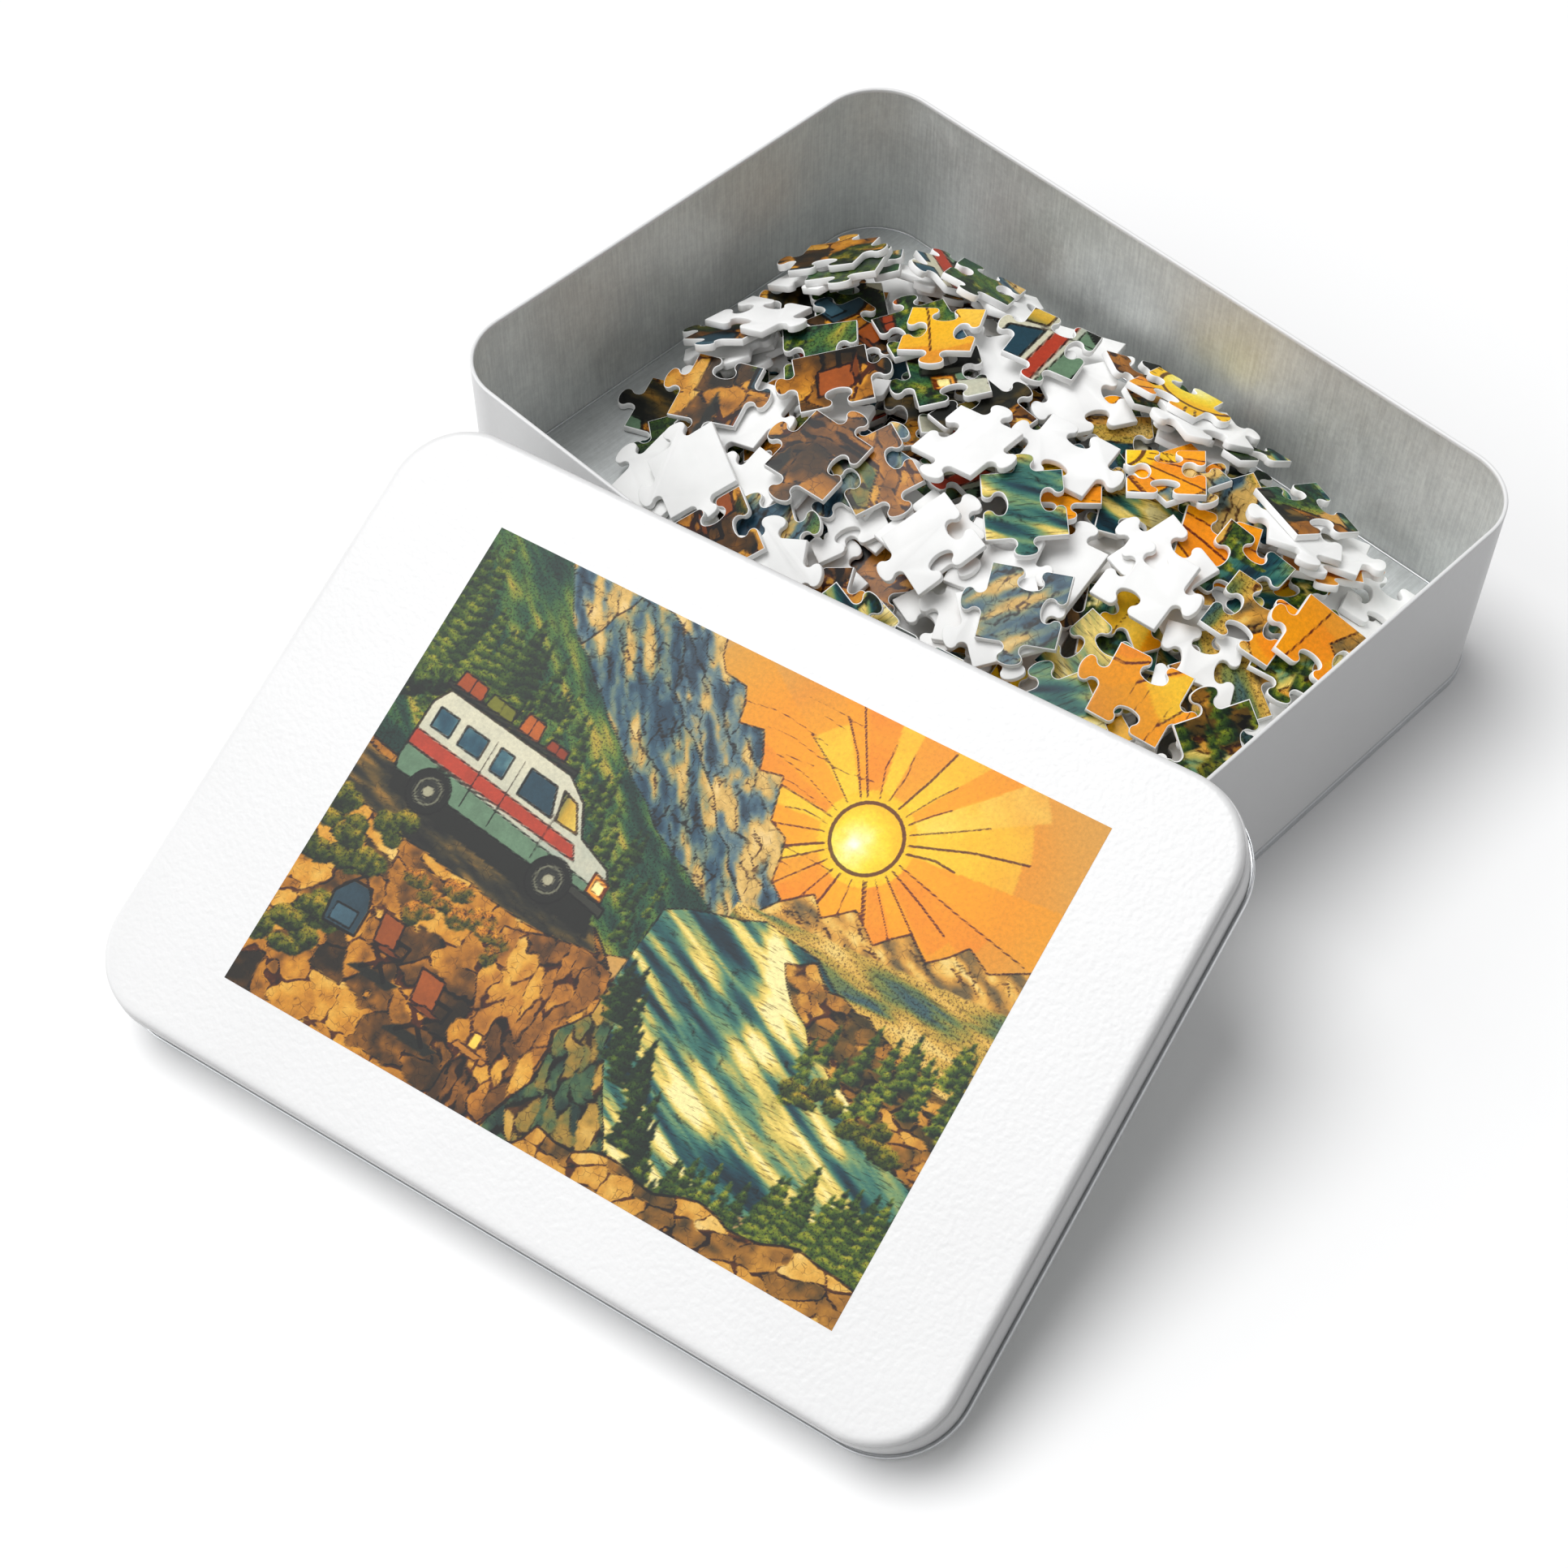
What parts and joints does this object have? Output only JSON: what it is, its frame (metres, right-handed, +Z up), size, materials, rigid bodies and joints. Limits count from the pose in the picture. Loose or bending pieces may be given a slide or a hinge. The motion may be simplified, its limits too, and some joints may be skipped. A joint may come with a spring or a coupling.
{
  "type": "boxed jigsaw puzzle",
  "caption": "Jigsaw puzzle heaped loose in an open rounded metal tin, with the printed lid leaning on its rim.",
  "frame": {"origin": "centre of the tin's underside, on the surface that it stands on", "axes": "+X along the tin's long side, +Y towards its far long side, +Z up; the lid leans on the -Y side"},
  "size_m": [0.2712, 0.3178, 0.0745],
  "materials": {
    "tin_enamel": "satin white enamel outside, bare tinplate inside",
    "tinplate": "bare tinplate, dull streaky sheen",
    "lid_enamel": "white enamel with a fine orange-peel grain",
    "lid_picture": "matt colour print",
    "puzzle_board": "die-cut puzzle board, colour print on one face and white on the other"
  },
  "bodies": {
    "tin": {"tin_wall": "tin_enamel", "tin_base": "tinplate", "puzzle_row_01": "puzzle_board", "puzzle_row_02": "puzzle_board", "puzzle_row_03": "puzzle_board", "puzzle_row_04": "puzzle_board", "puzzle_row_05": "puzzle_board", "puzzle_row_06": "puzzle_board", "puzzle_row_07": "puzzle_board", "puzzle_row_08": "puzzle_board", "puzzle_row_09": "puzzle_board", "puzzle_row_10": "puzzle_board", "puzzle_row_11": "puzzle_board", "puzzle_row_12": "puzzle_board"},
    "lid": {"lid_shell": "lid_enamel", "lid_print": "lid_picture"},
    "loose_piece_01": {"loose_piece_01": "puzzle_board"},
    "loose_piece_02": {"loose_piece_02": "puzzle_board"},
    "loose_piece_03": {"loose_piece_03": "puzzle_board"},
    "loose_piece_04": {"loose_piece_04": "puzzle_board"},
    "loose_piece_05": {"loose_piece_05": "puzzle_board"},
    "loose_piece_06": {"loose_piece_06": "puzzle_board"},
    "loose_piece_07": {"loose_piece_07": "puzzle_board"},
    "loose_piece_08": {"loose_piece_08": "puzzle_board"},
    "loose_piece_09": {"loose_piece_09": "puzzle_board"},
    "loose_piece_10": {"loose_piece_10": "puzzle_board"}
  },
  "joints": [
    {"name": "lid_lift", "type": "slide", "parent": "tin", "child": "lid", "axis": [0, 0, 1], "range_m": [0, 0.07]},
    {"name": "loose_piece_01_lift", "type": "slide", "parent": "tin", "child": "loose_piece_01", "axis": [0, 0, 1], "range_m": [0, 0.055]},
    {"name": "loose_piece_02_lift", "type": "slide", "parent": "tin", "child": "loose_piece_02", "axis": [0, 0, 1], "range_m": [0, 0.055]},
    {"name": "loose_piece_03_lift", "type": "slide", "parent": "tin", "child": "loose_piece_03", "axis": [0, 0, 1], "range_m": [0, 0.055]},
    {"name": "loose_piece_04_lift", "type": "slide", "parent": "tin", "child": "loose_piece_04", "axis": [0, 0, 1], "range_m": [0, 0.055]},
    {"name": "loose_piece_05_lift", "type": "slide", "parent": "tin", "child": "loose_piece_05", "axis": [0, 0, 1], "range_m": [0, 0.055]},
    {"name": "loose_piece_06_lift", "type": "slide", "parent": "tin", "child": "loose_piece_06", "axis": [0, 0, 1], "range_m": [0, 0.055]},
    {"name": "loose_piece_07_lift", "type": "slide", "parent": "tin", "child": "loose_piece_07", "axis": [0, 0, 1], "range_m": [0, 0.055]},
    {"name": "loose_piece_08_lift", "type": "slide", "parent": "tin", "child": "loose_piece_08", "axis": [0, 0, 1], "range_m": [0, 0.055]},
    {"name": "loose_piece_09_lift", "type": "slide", "parent": "tin", "child": "loose_piece_09", "axis": [0, 0, 1], "range_m": [0, 0.055]},
    {"name": "loose_piece_10_lift", "type": "slide", "parent": "tin", "child": "loose_piece_10", "axis": [0, 0, 1], "range_m": [0, 0.055]}
  ]
}
